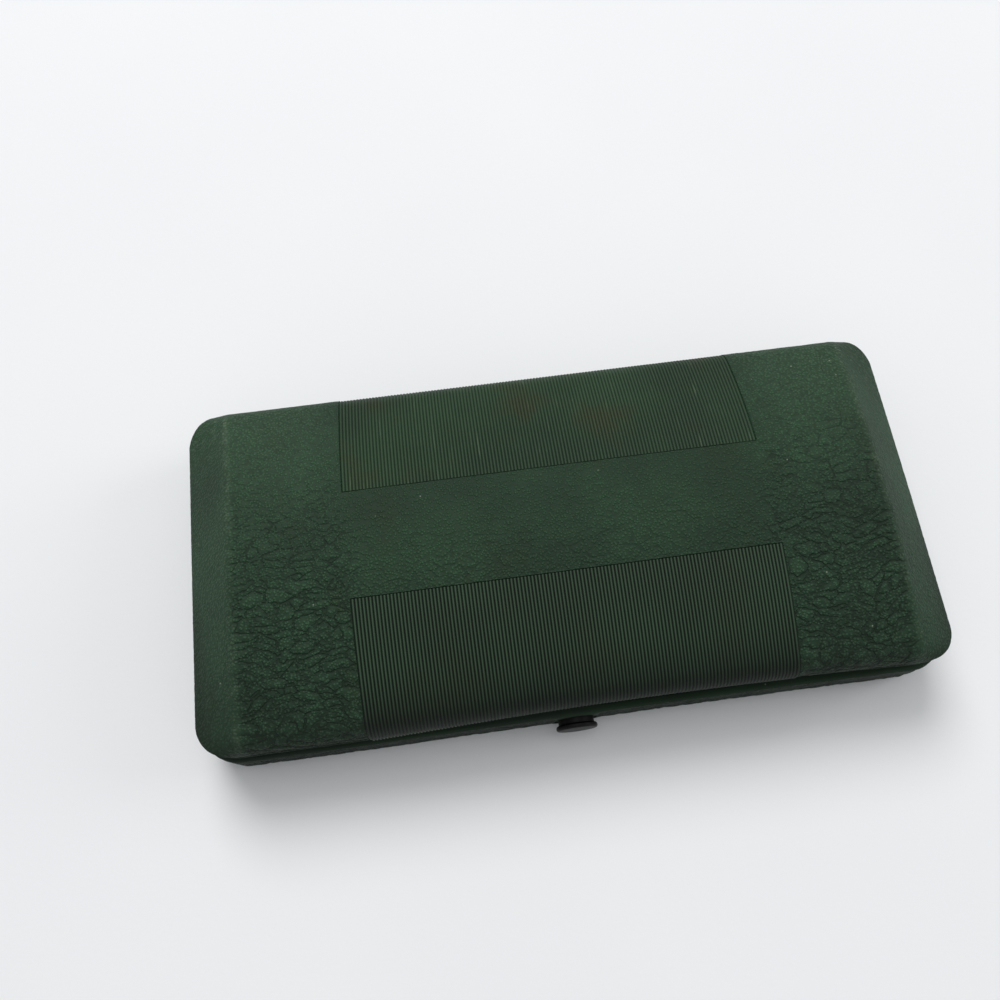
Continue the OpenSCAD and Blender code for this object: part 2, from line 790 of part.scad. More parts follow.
module strip_side() {
    y0 = strip_y;
    y1 = strip_y + strip_t;
    low = floor_t + boss_h;
    // foot on the bosses
    translate([y0 + bend_r, low])
        square([screw_y + boss_r - y0 - bend_r, strip_t]);
    // bend between foot and upright
    translate([y0 + bend_r, low + bend_r])
        intersection() {
            difference() {
                circle(bend_r);
                circle(bend_r - strip_t);
            }
            translate([-bend_r - cut, -bend_r - cut])
                square(bend_r + cut + speck);
        }
    // upright leaf, turned over at the top into a hook with a sloped nose
    tip = y0 - hook_reach;
    top = hook_z + strip_t;
    polygon([
        [y0, low + bend_r], [y1, low + bend_r], [y1, top], [tip + 0.3, top],
        [tip, hook_z + strip_t * 0.5], [tip + 0.5, hook_z], [y0, hook_z]]);
}

module latch_strip() {
    color(spring_blue)
        difference() {
            bar(button_x, strip_w)
                strip_side();
            rod_y(button_x, button_z, rivet_tip_r + 0.1, strip_y - cut, strip_y + strip_t + cut);
            for (s = [-1, 1])
                translate([button_x + s * screw_x, screw_y, floor_t])
                    cylinder(h = boss_h + 2 * strip_t, r = screw_r + 2 * fit);
        }
}

screw_head_h = 0.9;
screw_head_r = 1.9;
screw_slot_w = 0.5;
screw_slot_depth = 0.4;

module latch_screws() {
    color(steel)
        for (s = [-1, 1])
            translate([button_x + s * screw_x, screw_y, foot_top])
                difference() {
                    union() {
                        translate([0, 0, -strip_t - screw_depth + 0.3])
                            cylinder(h = strip_t + screw_depth - 0.3, r = screw_r);
                        cylinder(h = screw_head_h, r1 = screw_head_r, r2 = 0.8 * screw_head_r);
                    }
                    translate([-screw_head_r - cut, -screw_slot_w / 2, screw_head_h - screw_slot_depth])
                        cube([2 * (screw_head_r + cut), screw_slot_w, screw_slot_depth + cut]);
                }
}

module lid_keeper() {
    y0 = -inner_half_w;
    color(steel)
        difference() {
            bar(button_x, keeper_w) {
                translate([y0, ledge_z])
                    square([keeper_t, keeper_top - ledge_z]);
                translate([y0, ledge_z])
                    square([ledge_tip_y - y0, keeper_t]);
            }
            for (s = [-1, 1])
                rod_y(button_x + s * keeper_pin_x, keeper_pin_z, keeper_pin_r + fit, y0 - cut, y0 + 2 * keeper_t);
        }
}

module keeper_drive_pins() {
    y0 = -inner_half_w;
    color(steel)
        for (s = [-1, 1]) {
            x = button_x + s * keeper_pin_x;
            rod_y(x, keeper_pin_z, keeper_pin_r, y0 - keeper_pin_depth + 0.2, y0 + keeper_t + speck);
            rod_y(x, keeper_pin_z, keeper_pin_r + 0.6, y0 + keeper_t, y0 + keeper_t + 0.5);
        }
}

head_back_y = -base_half_w + recess_t - travel - 0.15;
neck_end_y = -inner_half_w - travel - play;
stem_socket = 2;

module push_button() {
    edge_r = 0.45 * head_t;
    back_edge = 0.2 * head_t;
    color(button_black)
        difference() {
            union() {
                translate([button_x, head_back_y, button_z])
                    rotate([90, 0, 0])
                        rotate_extrude() {
                            square([head_r - edge_r, head_t]);
                            translate([0, back_edge])
                                square([head_r, head_t - edge_r - back_edge]);
                            translate([head_r - edge_r, head_t - edge_r])
                                intersection() {
                                    circle(edge_r);
                                    square(edge_r);
                                }
                            polygon([[0, 0], [head_r - back_edge, 0], [head_r, back_edge], [0, back_edge]]);
                        }
                rod_y(button_x, button_z, neck_r, head_back_y - speck, neck_end_y);
            }
            rod_y(button_x, button_z, stem_r + fit, neck_end_y - stem_socket, neck_end_y + cut);
        }
}

module button_stem() {
    color(steel) {
        rod_y(button_x, button_z, stem_r, neck_end_y - stem_socket + fit, strip_y - tip_gap);
        rod_y(button_x, button_z, rivet_tip_r, strip_y - 2 * tip_gap, strip_y + strip_t + 0.5);
        rod_y(button_x, button_z, stem_r, strip_y + strip_t + tip_gap, strip_y + strip_t + 0.6);
    }
}

base_shell();
compartment_tray();
long_divider();
rear_cross_divider();
front_left_divider();
front_right_divider();
bobbin_rack();
tray_felt_pads();
left_hinge_base_leaf();
right_hinge_base_leaf();
left_hinge_pin();
right_hinge_pin();
base_hinge_rivets();
latch_strip();
latch_screws();
lid_shell();
lid_lining();
left_hinge_lid_leaf();
right_hinge_lid_leaf();
lid_hinge_rivets();
lid_keeper();
keeper_drive_pins();
push_button();
button_stem();
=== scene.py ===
import json
import math

import bmesh
import bpy
from mathutils import Matrix, Vector, noise


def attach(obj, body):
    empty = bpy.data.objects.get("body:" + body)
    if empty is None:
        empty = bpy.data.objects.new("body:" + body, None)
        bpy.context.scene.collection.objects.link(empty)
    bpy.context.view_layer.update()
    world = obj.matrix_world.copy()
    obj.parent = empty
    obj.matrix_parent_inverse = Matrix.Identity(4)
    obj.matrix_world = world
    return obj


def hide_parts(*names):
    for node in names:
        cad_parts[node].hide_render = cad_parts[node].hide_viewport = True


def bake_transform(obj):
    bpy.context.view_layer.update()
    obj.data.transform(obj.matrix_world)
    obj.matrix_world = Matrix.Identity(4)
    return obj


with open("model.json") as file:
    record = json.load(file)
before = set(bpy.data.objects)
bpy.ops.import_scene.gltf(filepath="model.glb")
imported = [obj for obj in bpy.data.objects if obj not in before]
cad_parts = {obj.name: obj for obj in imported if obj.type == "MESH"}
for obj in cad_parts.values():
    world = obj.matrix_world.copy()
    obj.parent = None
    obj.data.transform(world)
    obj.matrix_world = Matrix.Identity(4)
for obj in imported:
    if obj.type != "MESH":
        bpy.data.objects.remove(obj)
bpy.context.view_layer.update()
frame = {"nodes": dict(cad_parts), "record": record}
print("frame loaded:", len(frame["nodes"]), "nodes")


class Wire:
    # an output socket; sums on wires add Math nodes to the same tree
    def __init__(self, graph, socket):
        self.graph = graph
        self.socket = socket

    def math(self, operation, *others):
        return self.graph.add("ShaderNodeMath", {"operation": operation}, dict(enumerate((self, *others))))

    def __add__(self, other):
        return self.math("ADD", other)

    def __sub__(self, other):
        return self.math("SUBTRACT", other)

    def __rsub__(self, other):
        return self.graph.add("ShaderNodeMath", {"operation": "SUBTRACT"}, {0: other, 1: self})

    def __mul__(self, other):
        return self.math("MULTIPLY", other)

    def __truediv__(self, other):
        return self.math("DIVIDE", other)

    def __pow__(self, other):
        return self.math("POWER", other)

    def __abs__(self):
        return self.math("ABSOLUTE")

    __radd__ = __add__
    __rmul__ = __mul__

    def atLeast(self, other):
        return self.math("MAXIMUM", other)

    def atMost(self, other):
        return self.math("MINIMUM", other)


class Graph:
    # node helpers shared by the materials and by the relief of the mouldings
    def add(self, kind, settings=None, inputs=None, output=0):
        node = self.tree.nodes.new(kind)
        for key, value in (settings or {}).items():
            setattr(node, key, value)
        for key, value in (inputs or {}).items():
            if isinstance(value, Wire):
                self.tree.links.new(value.socket, node.inputs[key])
            else:
                node.inputs[key].default_value = value
        return Wire(self, node.outputs[output])

    # coordinates in millimetres, stretched by a vector
    def stretched(self, x, y, z):
        return self.scaled(self.place, 1000 * x, 1000 * y, 1000 * z)

    def axes(self, vector):
        parts = self.add("ShaderNodeSeparateXYZ", {}, {0: vector})
        outputs = parts.socket.node.outputs
        return [Wire(self, outputs[i]) for i in range(3)]

    def scaled(self, vector, x, y, z):
        return self.add("ShaderNodeVectorMath", {"operation": "MULTIPLY"}, {0: vector, 1: (x, y, z)})

    # moves the pattern sideways by a slow noise
    def swayed(self, vector, scale, x, y, z):
        sway = self.add("ShaderNodeTexNoise", {}, {"Vector": vector, "Scale": scale, "Detail": 1.0}, 1)
        return self.add("ShaderNodeVectorMath", {"operation": "MULTIPLY_ADD"},
                        {0: sway, 1: (x, y, z), 2: vector})

    def noise(self, vector, scale=1.0, detail=2.0, roughness=0.5):
        return self.add("ShaderNodeTexNoise", {},
                        {"Vector": vector, "Scale": scale, "Detail": detail, "Roughness": roughness})

    def cells(self, vector, scale=1.0, feature="F1", output="Distance"):
        return self.add("ShaderNodeTexVoronoi", {"feature": feature},
                        {"Vector": vector, "Scale": scale}, output)

    def steps(self, value, low, high):
        return self.add("ShaderNodeMapRange", {"interpolation_type": "SMOOTHSTEP"},
                        {0: value, 1: low, 2: high, 3: 0.0, 4: 1.0})


class Finish(Graph):
    # one node material with a Principled shader
    def __init__(self, name, **shader):
        self.material = bpy.data.materials.new(name)
        self.material.use_nodes = True
        self.tree = self.material.node_tree
        self.tree.nodes.clear()
        self.shader = self.tree.nodes.new("ShaderNodeBsdfPrincipled")
        out = self.tree.nodes.new("ShaderNodeOutputMaterial")
        self.tree.links.new(self.shader.outputs[0], out.inputs[0])
        self.place = self.add("ShaderNodeTexCoord", {}, {}, "Object")
        for key, value in shader.items():
            self.feed(key, value)

    def feed(self, key, value):
        socket = self.shader.inputs[key]
        if isinstance(value, Wire):
            self.tree.links.new(value.socket, socket)
        else:
            socket.default_value = value

    def attribute(self, name):
        return self.add("ShaderNodeAttribute", {"attribute_name": name}, {}, "Fac")

    def mixed(self, share, a, b):
        node = self.tree.nodes.new("ShaderNodeMix")
        node.data_type = "RGBA"
        for index, value in ((0, share), (6, a), (7, b)):
            if isinstance(value, Wire):
                self.tree.links.new(value.socket, node.inputs[index])
            else:
                node.inputs[index].default_value = value
        return Wire(self, node.outputs[2])

    # height in millimetres
    def bump(self, height):
        return self.add("ShaderNodeBump", {},
                        {"Height": height, "Distance": 0.001, "Strength": 1.0}, "Normal")


class Relief(Graph):
    # geometry nodes that store values on a mesh and sink its surface, in millimetres
    def __init__(self, name):
        self.tree = bpy.data.node_groups.new(name, "GeometryNodeTree")
        for way in ("INPUT", "OUTPUT"):
            self.tree.interface.new_socket("Geometry", in_out=way, socket_type="NodeSocketGeometry")
        self.mesh = self.add("NodeGroupInput")
        self.place = self.add("GeometryNodeInputPosition")

    def attribute(self, name):
        return self.add("GeometryNodeInputNamedAttribute", {"data_type": "FLOAT"},
                        {"Name": name}, "Attribute")

    def store(self, name, value):
        self.mesh = self.add("GeometryNodeStoreNamedAttribute", {"data_type": "FLOAT", "domain": "POINT"},
                             {"Geometry": self.mesh, "Name": name, "Value": value})

    def sink(self, depth):
        normal = self.add("GeometryNodeInputNormal")
        offset = self.add("ShaderNodeVectorMath", {"operation": "SCALE"},
                          {0: normal, "Scale": depth * -0.001})
        self.mesh = self.add("GeometryNodeSetPosition", {}, {"Geometry": self.mesh, "Offset": offset})

    def press(self, piece):
        out = self.tree.nodes.new("NodeGroupOutput")
        self.tree.links.new(self.mesh.socket, out.inputs[0])
        modifier = piece.modifiers.new("relief", "NODES")
        modifier.node_group = self.tree
        bakeModifiers(piece)


def rgb(red, green, blue):
    # sRGB 0-255 to the linear colour that nodes take
    def linear(c):
        c = c / 255
        return c / 12.92 if c <= 0.04045 else ((c + 0.055) / 1.055) ** 2.4
    return (linear(red), linear(green), linear(blue), 1.0)


def clamp(value, low=0.0, high=1.0):
    return max(low, min(high, value))


def smooth(low, high, value):
    t = clamp((value - low) / (high - low))
    return t * t * (3 - 2 * t)


# meshes are drawn in millimetres and scaled when the piece is made
def newPiece(bm, name, body, finish, sharpAngle=35):
    bmesh.ops.scale(bm, vec=(0.001, 0.001, 0.001), verts=bm.verts)
    mesh = bpy.data.meshes.new(name)
    bm.to_mesh(mesh)
    bm.free()
    mesh.materials.append(finish.material)
    mesh.polygons.foreach_set("use_smooth", [True] * len(mesh.polygons))
    mesh.set_sharp_from_angle(angle=math.radians(sharpAngle))
    piece = bpy.data.objects.new(name, mesh)
    bpy.context.scene.collection.objects.link(piece)
    if body:
        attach(piece, body)
    return piece


def bakeModifiers(piece):
    graph = bpy.context.evaluated_depsgraph_get()
    made = bpy.data.meshes.new_from_object(piece.evaluated_get(graph))
    piece.modifiers.clear()
    piece.data = made
    made.set_sharp_from_angle(angle=math.radians(35))


def carve(piece, cutterMesh):
    # takes the cutter's shapes out of the piece
    cutterMesh.normal_update()
    bmesh.ops.scale(cutterMesh, vec=(0.001, 0.001, 0.001), verts=cutterMesh.verts)
    mesh = bpy.data.meshes.new("cutter")
    cutterMesh.to_mesh(mesh)
    cutterMesh.free()
    cutter = bpy.data.objects.new("cutter", mesh)
    bpy.context.scene.collection.objects.link(cutter)
    modifier = piece.modifiers.new("carve", "BOOLEAN")
    modifier.operation = "DIFFERENCE"
    modifier.solver = "EXACT"
    modifier.use_self = True
    modifier.object = cutter
    bakeModifiers(piece)
    bpy.data.objects.remove(cutter)


def addBox(bm, low, high):
    centre = [(a + b) / 2 for a, b in zip(low, high)]
    size = [b - a for a, b in zip(low, high)]
    place = Matrix.Translation(centre) @ Matrix.Diagonal((*size, 1))
    return bmesh.ops.create_cube(bm, size=1, matrix=place)["verts"]


def addRod(bm, centre, axis, radius, length, segments=48):
    turn = Vector((0, 0, 1)).rotation_difference(Vector(axis)).to_matrix().to_4x4()
    return bmesh.ops.create_cone(bm, cap_ends=True, segments=segments, radius1=radius, radius2=radius,
                                 depth=length, matrix=Matrix.Translation(centre) @ turn)["verts"]


def pullRing(bm, edges):
    # extrudes a ring of edges on the spot and returns the new ring's edges and vertices
    made = bmesh.ops.extrude_edge_only(bm, edges=edges)["geom"]
    verts = {item for item in made if isinstance(item, bmesh.types.BMVert)}
    edges = [item for item in made if isinstance(item, bmesh.types.BMEdge)]
    return [edge for edge in edges if all(v in verts for v in edge.verts)], list(verts)


def mouldingMesh():
    # an empty mesh with the values that the moulding's finish reads, and ring stations
    bm = bmesh.new()
    layers = {name: bm.verts.layers.float.new(name) for name in ("grain", "crease", "wear")}
    layers["station"] = bm.verts.layers.int.new("station")
    return bm, layers


leather = {
    "cellL": 5.2, "cellW": 2.2,  # size of a cell of the leather, along and across the box
    "pebble": 0.68,              # size of the fine grain
    "creaseDepth": 0.2, "foldDepth": 0.09, "fineDepth": 0.07, "grainHeight": 0.17,
    "ragged": 0.14, "lump": 0.18,
}


def creasesAt(g, width):
    # the leather's pattern from 0 to 1: deep creases, the fall of a cell to its edge, fine creases
    p = g.swayed(g.stretched(1, 1, 1), 0.1, 8.0, 7.0, 7.0)
    p = g.swayed(p, 0.5, 1.6, 1.6, 1.6)
    across = 1 / leather["cellW"]
    big = g.cells(g.scaled(p, 1 / leather["cellL"], across, across), 1.0, "DISTANCE_TO_EDGE")
    split = g.scaled(p, 2.1 / leather["cellL"], 1.8 * across, 1.8 * across)
    small = g.cells(split, 1.0, "DISTANCE_TO_EDGE")
    broken = g.steps(g.noise(p, 0.17), 0.38, 0.56)
    deep = (1 - g.steps(big, 0.01, width)) * (0.25 + 0.75 * broken)
    fold = 1 - g.steps(big, 0.0, 0.42)
    fine = (1 - g.steps(small, 0.0, 1.3 * width)) * (1.1 - broken)
    return deep, fold, fine


def pressLeather(piece, masks):
    # presses the coarse part of the leather into a moulding; masks gives depth, grain and wear
    r = Relief(piece.name + "Relief")
    depth, grain, wear = masks(r, *r.axes(r.stretched(1, 1, 1)))
    for name, value in (("depth", depth), ("grain", grain), ("wear", wear)):
        r.store(name, value)
    deep, fold, fine = creasesAt(r, 0.2)
    lump = r.noise(r.stretched(0.8, 1, 1), 0.13, 2.0)
    ragged = r.noise(r.stretched(1, 1, 1), 0.9, 2.0, 0.7)
    pressed = leather["creaseDepth"] * 0.7 * deep + leather["foldDepth"] * 0.8 * fold + leather["lump"] * lump
    r.sink(r.attribute("depth") * pressed + r.attribute("grain") * leather["ragged"] * ragged)
    r.press(piece)


dip = {"middle": 18, "reach": 72, "from": -30, "full": -40}  # where the front edges have sunk in


def frontSink(x, y, most):
    share = clamp(1 - ((x - dip["middle"]) / dip["reach"]) ** 2)
    return most * share ** 1.5 * smooth(dip["from"], dip["full"], y)


lid = {
    "halfL": 89.0, "halfW": 42.7, "lipZ": 13.5, "crownZ": 33.8,
    "crownR": 100.0, "rollR": 7.5, "cornerR": 9.0,
    "bevelW": 12.6, "ridgeBow": 2.0, "endRoll": 2.0,
    "lipIn": 0.8, "beadH": 1.1, "wall": 2.2,
    "panelHalf": 49.6, "fieldHalf": 13.0, "recess": 0.7, "step": 0.42, "sink": 1.6,
}
lid["centreZ"] = lid["crownZ"] - lid["crownR"]
lidInside = {
    "halfL": 86.0, "halfW": 39.7, "crownR": 97.8, "rollR": 5.3, "cornerR": 6.0, "bevelW": 10.6,
    "ridgeBow": 2.0, "endRoll": 2.0, "centreZ": lid["centreZ"],
}


class Arch:
    # the arched form with bevelled ends, for the outer face or the hollow of the lid
    def __init__(self, size):
        self.__dict__.update(size)
        self.turn = math.asin((self.halfW - self.rollR) / (self.crownR - self.rollR))
        rollRise = math.sqrt((self.crownR - self.rollR) ** 2 - (self.halfW - self.rollR) ** 2)
        self.rollZ = self.centreZ + rollRise
        self.height = self.centreZ + self.crownR - self.rollZ
        slope = math.atan2(self.height, self.bevelW)
        self.rollU = self.endRoll * (1 - math.sin(slope))
        self.rollH = self.endRoll * math.cos(slope)
        self.halfArc = self.crownR * self.turn + self.rollR * (math.pi / 2 - self.turn)
        # table of arc length against x along the middle of the lid
        self.table = [(0.0, 0.0)]
        step, x, run = 0.02, 0.0, 0.0
        last = self.topAt(0, 0)
        while x < self.halfL - 1e-9:
            x = min(x + step, self.halfL)
            z = self.topAt(x, 0)
            run += math.hypot(step, z - last)
            last = z
            self.table.append((run, x))
        self.halfRun = run

    def archAt(self, y):
        start = self.crownR * math.sin(self.turn)
        y = min(abs(y), self.halfW)
        if y <= start:
            return self.centreZ + math.sqrt(self.crownR ** 2 - y * y)
        return self.rollZ + math.sqrt(max(self.rollR ** 2 - (y - self.halfW + self.rollR) ** 2, 0))

    def bevelAt(self, u, width, soft=0.1):
        if u < self.rollU:
            return math.sqrt(max(self.endRoll ** 2 - (self.endRoll - u) ** 2, 0)) / self.height
        t = (u - self.rollU) / (width - self.rollU)
        bend = 1 - (1 + soft - t) ** 2 / (4 * soft)
        level = 1 if t > 1 + soft else bend if t > 1 - soft else t
        return self.rollH / self.height + (1 - self.rollH / self.height) * level

    def topAt(self, x, y):
        width = self.bevelW - self.ridgeBow * (y / self.halfW) ** 2
        return self.rollZ + (self.archAt(y) - self.rollZ) * self.bevelAt(self.halfL - abs(x), width)

    # x at a distance along the middle of the lid
    def xAt(self, run):
        low, high = 0, len(self.table) - 1
        while high - low > 1:
            middle = (low + high) // 2
            if self.table[middle][0] <= abs(run):
                low = middle
            else:
                high = middle
        (r0, x0), (r1, x1) = self.table[low], self.table[high]
        return math.copysign(x0 + (x1 - x0) * clamp((abs(run) - r0) / (r1 - r0)), run)

    # y at a distance over the arch
    def yAt(self, run):
        crown = self.crownR * self.turn
        if abs(run) <= crown:
            return math.copysign(self.crownR * math.sin(abs(run) / self.crownR), run)
        angle = self.turn + (abs(run) - crown) / self.rollR
        return math.copysign(self.halfW - self.rollR + self.rollR * math.sin(min(angle, math.pi / 2)), run)

    # half length of the plan outline at y
    def endAt(self, y):
        over = abs(y) - (self.halfW - self.cornerR)
        if over <= 0:
            return self.halfL
        return self.halfL - self.cornerR + math.sqrt(max(self.cornerR ** 2 - over ** 2, 0))

    # plan direction that points out of the outline at x, y
    def outwards(self, x, y):
        cx, cy = self.halfL - self.cornerR, self.halfW - self.cornerR
        if abs(x) > cx and abs(y) > cy:
            return Vector((x - math.copysign(cx, x), y - math.copysign(cy, y), 0)).normalized()
        if abs(y) > cy + 0.9 * self.cornerR:
            return Vector((0, math.copysign(1, y), 0))
        return Vector((math.copysign(1, x), 0, 0))


def marks(stops):
    # positions from 0 outwards: stops lists (end, step) pairs; mirrored to both sides
    out, start = [0.0], 0.0
    for end, step in stops:
        count = max(1, round((end - start) / step))
        out += [start + (end - start) * (i + 1) / count for i in range(count)]
        start = end
    return [-v for v in reversed(out[1:])] + out


def archGrid(bm, arch, columns, rows, stretchFrom=72.0):
    # a grid laid over the arch; its edge follows the plan outline
    made = bmesh.ops.create_grid(bm, x_segments=len(columns) - 1, y_segments=len(rows) - 1, size=1)["verts"]
    xs = [arch.xAt(c) for c in columns]
    ys = [arch.yAt(r) for r in rows]
    for vert in made:
        x = xs[round((vert.co.x + 1) / 2 * (len(xs) - 1))]
        y = ys[round((vert.co.y + 1) / 2 * (len(ys) - 1))]
        if abs(x) > stretchFrom:
            share = (abs(x) - stretchFrom) / (arch.halfL - stretchFrom)
            x = math.copysign(stretchFrom + share * (arch.endAt(y) - stretchFrom), x)
        vert.co = (x, y, arch.topAt(x, y))
    return made


def lidMasks(r, x, y, z):
    # creases are strong at the front corners, worn at the back, faint on the bevels and middle field
    p = r.stretched(1, 1, 1)
    grain = r.attribute("grain")
    far, blur = abs(x), r.noise(p, 0.11) - 0.5
    side = r.steps(far + 8 * blur, 45, 53)
    front = 0.26 + 0.74 * r.steps(y + 24 * blur, 24, -24)
    flat = 1 - 0.75 * r.steps(far, 74.8, 78.0)
    skirt = 0.5 + 0.5 * r.steps(z, 17, 21)
    depth = (0.34 + 0.66 * side) * front * flat * skirt * grain
    bevel = lid["bevelW"] - lid["ridgeBow"] * (y / lid["halfW"]) ** 2
    ridge = 1 - r.steps(abs(lid["halfL"] - far - bevel), 0.1, 1.6)
    patchy = r.steps(r.noise(r.stretched(1, 0.5, 1), 0.3, 3.0, 0.65), 0.42, 0.68)
    corner = r.steps(far + y, 100, 122) * r.steps(r.noise(p, 0.5, 3.0, 0.7), 0.45, 0.7)
    ridgeWear = ridge * (0.25 + 0.75 * patchy) * (0.5 + 0.5 * r.steps(y, -20, 30))
    wear = r.attribute("wear") + grain * ridgeWear.atLeast(0.7 * corner)
    return depth, grain, wear


def makeLidShell(finish):
    outer, inner = Arch(lid), Arch(lidInside)
    panelHalf, fieldHalf, step = lid["panelHalf"], lid["fieldHalf"], lid["step"]
    bm, layers = mouldingMesh()
    station, grain, wear = layers["station"], layers["grain"], layers["wear"]
    columns = marks([(panelHalf - 0.1, 2.6), (panelHalf + 0.1, 0.2), (outer.halfRun, step)])
    rows = marks([(fieldHalf - 0.05, step), (fieldHalf + 0.15, 0.2), (outer.halfArc, step)])
    top = archGrid(bm, outer, columns, rows)
    rim = [e for e in bm.edges if e.is_boundary]
    stations = []
    for vert in {v for e in rim for v in e.verts}:
        vert[station] = len(stations)
        stations.append((vert.co.copy(), outer.outwards(vert.co.x, vert.co.y)))
    outside = list(top)
    # skirt down to the bead, then the bead
    beadTop = lid["lipZ"] + lid["beadH"]
    for k in range(1, 10):
        rim, verts = pullRing(bm, rim)
        for vert in verts:
            start, out = stations[vert[station]]
            low = start - out * lid["lipIn"]
            low.z = beadTop
            vert.co = start.lerp(low, k / 9)
        outside += verts
    for vert in outside:
        vert[grain] = 1.0
    for angle in (60, 30, 0, -30, -60, -85):
        rim, verts = pullRing(bm, rim)
        for vert in verts:
            start, out = stations[vert[station]]
            vert.co = start - out * (lid["lipIn"] - 0.42 * math.cos(math.radians(angle)) + 0.02)
            vert.co.z = lid["lipZ"] + 0.55 + 0.55 * math.sin(math.radians(angle))
            vert[wear] = 0.12
            vert[grain] = 0.6
        outside += verts
    # sunk floor under each ribbed panel
    sunk = []
    for vert in outside:
        x, y, z = vert.co
        if abs(x) < panelHalf and abs(y) > fieldHalf + 0.02 and z > beadTop + 0.25:
            roll = (z - outer.rollZ) * 6 if z > outer.rollZ else 0
            away = Vector((0, y, z - outer.centreZ if abs(y) < 35 else roll))
            sunk.append((vert, away.normalized() * lid["recess"]))
            vert[grain] = 0.0
    for vert, move in sunk:
        vert.co -= move
    for vert in outside:
        vert.co.y += frontSink(vert.co.x, vert.co.y, lid["sink"]) * smooth(27, 15, vert.co.z)
    # hollow: its own coarser grid, turned to face inwards
    columns, rows = marks([(inner.halfRun, 2.4)]), marks([(inner.halfArc, 1.6)])
    hollow = archGrid(bm, inner, columns, rows, stretchFrom=70.0)
    hollowSet = set(hollow)
    bmesh.ops.reverse_faces(bm, faces=[f for f in bm.faces if f.verts[0] in hollowSet])
    rimIn = [e for e in bm.edges if e.is_boundary and e.verts[0] in hollowSet]
    rimIn, verts = pullRing(bm, rimIn)
    for vert in verts:
        vert.co.z = lid["lipZ"] + 0.02
    # notches in the back lip for the hinge leaves
    for vert in outside + verts:
        if vert.co.y > 38 and abs(abs(vert.co.x) - hinge["x"]) < hinge["notchHalf"]:
            vert.co.z = max(vert.co.z, hinge["notchTop"])
    bmesh.ops.bridge_loops(bm, edges=rim + rimIn)
    bmesh.ops.recalc_face_normals(bm, faces=bm.faces)
    piece = newPiece(bm, "lidShell", "lid", finish)
    pressLeather(piece, lidMasks)
    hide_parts("lid_shell")


ribs = {
    "pitch": 0.8, "height": 0.35, "drop": 0.1, "stop": 0.3, "below": 0.3, "flare": 0.45,
    "wornBack": 0.6,  # share of the height that the rear ribs keep
}
crestShape = (0.0, 0.5, 0.88, 1.0, 0.88, 0.5)  # height of a rib at six places across it


def makeRibs(name, side, finish):
    outer = Arch(lid)
    beadTop = lid["lipZ"] + lid["beadH"]
    lean = math.atan2(lid["lipIn"], outer.rollZ - beadTop)
    crownR, rollR = lid["crownR"] - ribs["drop"], lid["rollR"] - ribs["drop"]
    reach = (outer.halfW * math.cos(lean) - (outer.rollZ - outer.centreZ) * math.sin(lean)
             - ribs["drop"] - rollR)
    lift = math.sqrt((crownR - rollR) ** 2 - reach ** 2)
    cy = reach * math.cos(lean) + lift * math.sin(lean)
    cz = outer.centreZ - reach * math.sin(lean) + lift * math.cos(lean)
    turn = math.atan2(cy, cz - outer.centreZ)
    startTurn = math.asin(lid["fieldHalf"] / lid["crownR"]) + 0.0006
    crownRun = crownR * (turn - startTurn)
    rollRun = rollR * (math.pi / 2 - turn + lean)
    skirtRun = (cz - rollR * math.sin(lean) - beadTop - ribs["stop"]) / math.cos(lean)

    def onPath(run, sink):
        if run <= crownRun:
            angle = startTurn + run / crownR
            return (crownR - sink) * math.sin(angle), outer.centreZ + (crownR - sink) * math.cos(angle)
        angle = turn + min((run - crownRun) / rollR, math.pi / 2 - turn + lean)
        down = max(run - crownRun - rollRun, 0)
        flare = ribs["flare"] * smooth(skirtRun - 1.3, skirtRun, down)
        y = cy + (rollR - sink) * math.sin(angle) - down * math.sin(lean) + flare
        z = cz + (rollR - sink) * math.cos(angle) - down * math.cos(lean)
        return y, z

    count = int(2 * lid["panelHalf"] / ribs["pitch"])
    steps = len(crestShape)
    length = 2 * lid["panelHalf"] - 0.08
    runs = [crownRun * i / 10 for i in range(10)] + [crownRun + rollRun * i / 12 for i in range(12)]
    runs += [crownRun + rollRun + skirtRun * i / 8 for i in range(9)]
    height = ribs["height"] * (ribs["wornBack"] if side > 0 else 1)
    bm, layers = mouldingMesh()
    made = bmesh.ops.create_grid(bm, x_segments=count * steps, y_segments=len(runs) - 1, size=1)["verts"]
    for vert in made:
        i = round((vert.co.x + 1) / 2 * count * steps)
        j = round((vert.co.y + 1) / 2 * (len(runs) - 1))
        x = length * (i / (count * steps) - 0.5)
        crest = crestShape[i % steps]
        worn = 0.04 * noise.noise((x / 5, runs[j] / 3, side))
        worn += 0.03 * noise.noise((x * 1.3, runs[j] / 6, side))
        y, z = onPath(runs[j], height * (1 - crest) + max(worn, 0) * crest)
        y = side * y
        vert.co = (x, y + frontSink(x, y, lid["sink"]) * smooth(27, 15, z), z)
    # the sheet becomes a closed body that sits in its recess
    bmesh.ops.recalc_face_normals(bm, faces=bm.faces)
    bmesh.ops.solidify(bm, geom=bm.faces, thickness=ribs["below"])
    for vert in bm.verts:
        crest = crestShape[round((vert.co.x / length + 0.5) * count * steps) % steps]
        vert[layers["crease"]] = 1 - crest
        vert[layers["wear"]] = crest * smooth(17.2, 15.0, vert.co.z)
    newPiece(bm, name, "lid", finish, sharpAngle=50)


hinge = {
    "x": 59.0, "notchHalf": 12.3, "notchTop": 14.13, "pinY": 43.7, "pinZ": 13.35, "clearR": 1.5,
    "pocketZ": 12.57,
}
base = {
    "halfL": 89.7, "halfW": 43.4, "cornerR": 9.7, "height": 13.2, "wall": 2.4, "floor": 2.4,
    "footR": 3.0, "rimR": 1.0, "sink": 0.35,
}


